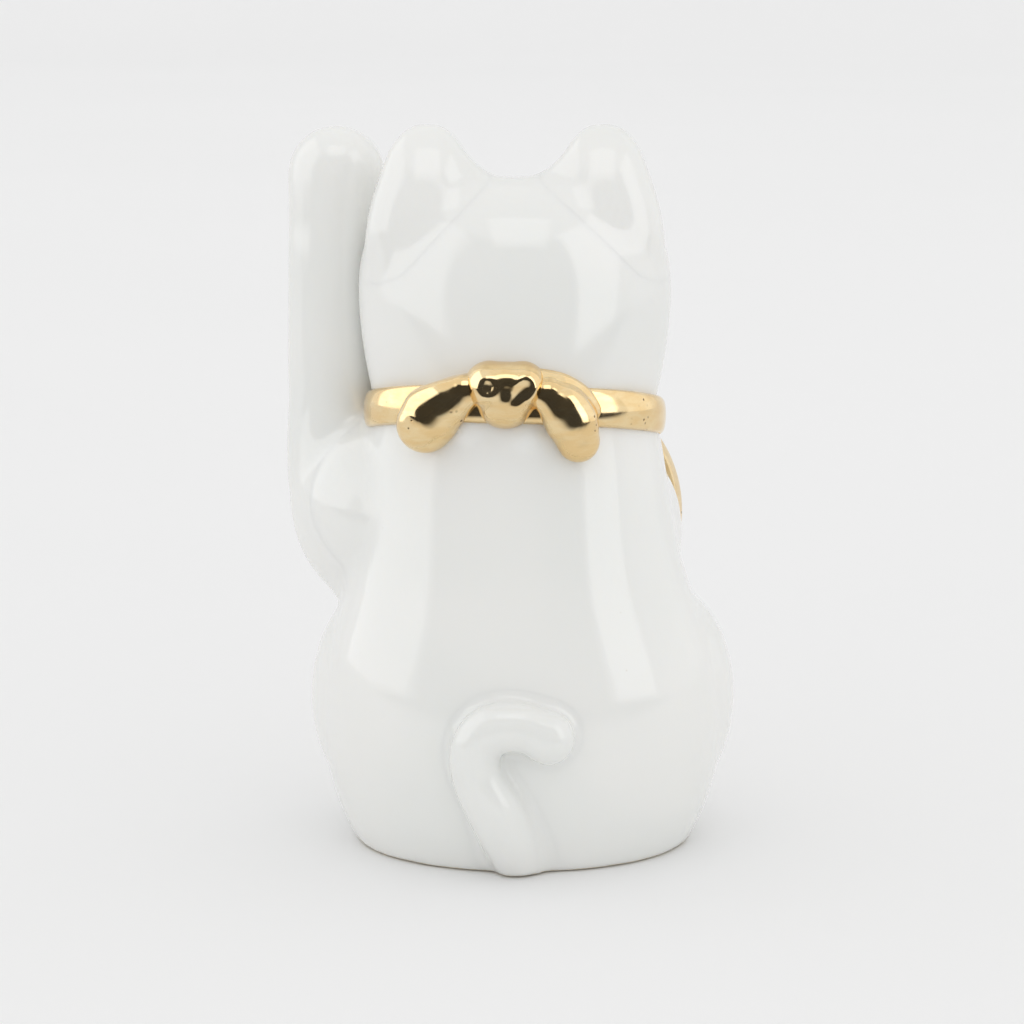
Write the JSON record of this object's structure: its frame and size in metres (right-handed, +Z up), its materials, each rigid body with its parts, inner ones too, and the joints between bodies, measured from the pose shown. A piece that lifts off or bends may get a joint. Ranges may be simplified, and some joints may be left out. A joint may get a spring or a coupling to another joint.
{
  "type": "beckoning cat figurine",
  "caption": "Small hollow glazed porcelain cat sitting upright with one foreleg raised, gilded collar, bow, bell and coin.",
  "frame": {"origin": "middle of the figure's outline on the surface it stands on", "axes": "+Z up, the cat faces -Y, +X to the cat's left, where the foreleg is raised"},
  "size_m": [0.073, 0.0662, 0.1178],
  "materials": {
    "porcelain": "white porcelain under a clear glossy glaze, bare and matt on the foot ring",
    "gold_lustre": "glazed porcelain under a fired film of bright gold, mirror-like with fine pits",
    "black_enamel": "fired black overglaze enamel, glossy"
  },
  "bodies": {
    "root": {"body_shell": "porcelain", "head_shell": "porcelain", "left_ear": "porcelain", "right_ear": "porcelain", "raised_foreleg": "porcelain", "lowered_foreleg": "porcelain", "left_hind_paw": "porcelain", "right_hind_paw": "porcelain", "tail": "porcelain", "collar_band": "gold_lustre", "bow_knot": "gold_lustre", "left_bow_loop": "gold_lustre", "right_bow_loop": "gold_lustre", "bell": "gold_lustre", "bell_lug": "gold_lustre", "coin": "gold_lustre", "left_eye": "black_enamel", "right_eye": "black_enamel", "nose": "gold_lustre"}
  },
  "joints": []
}
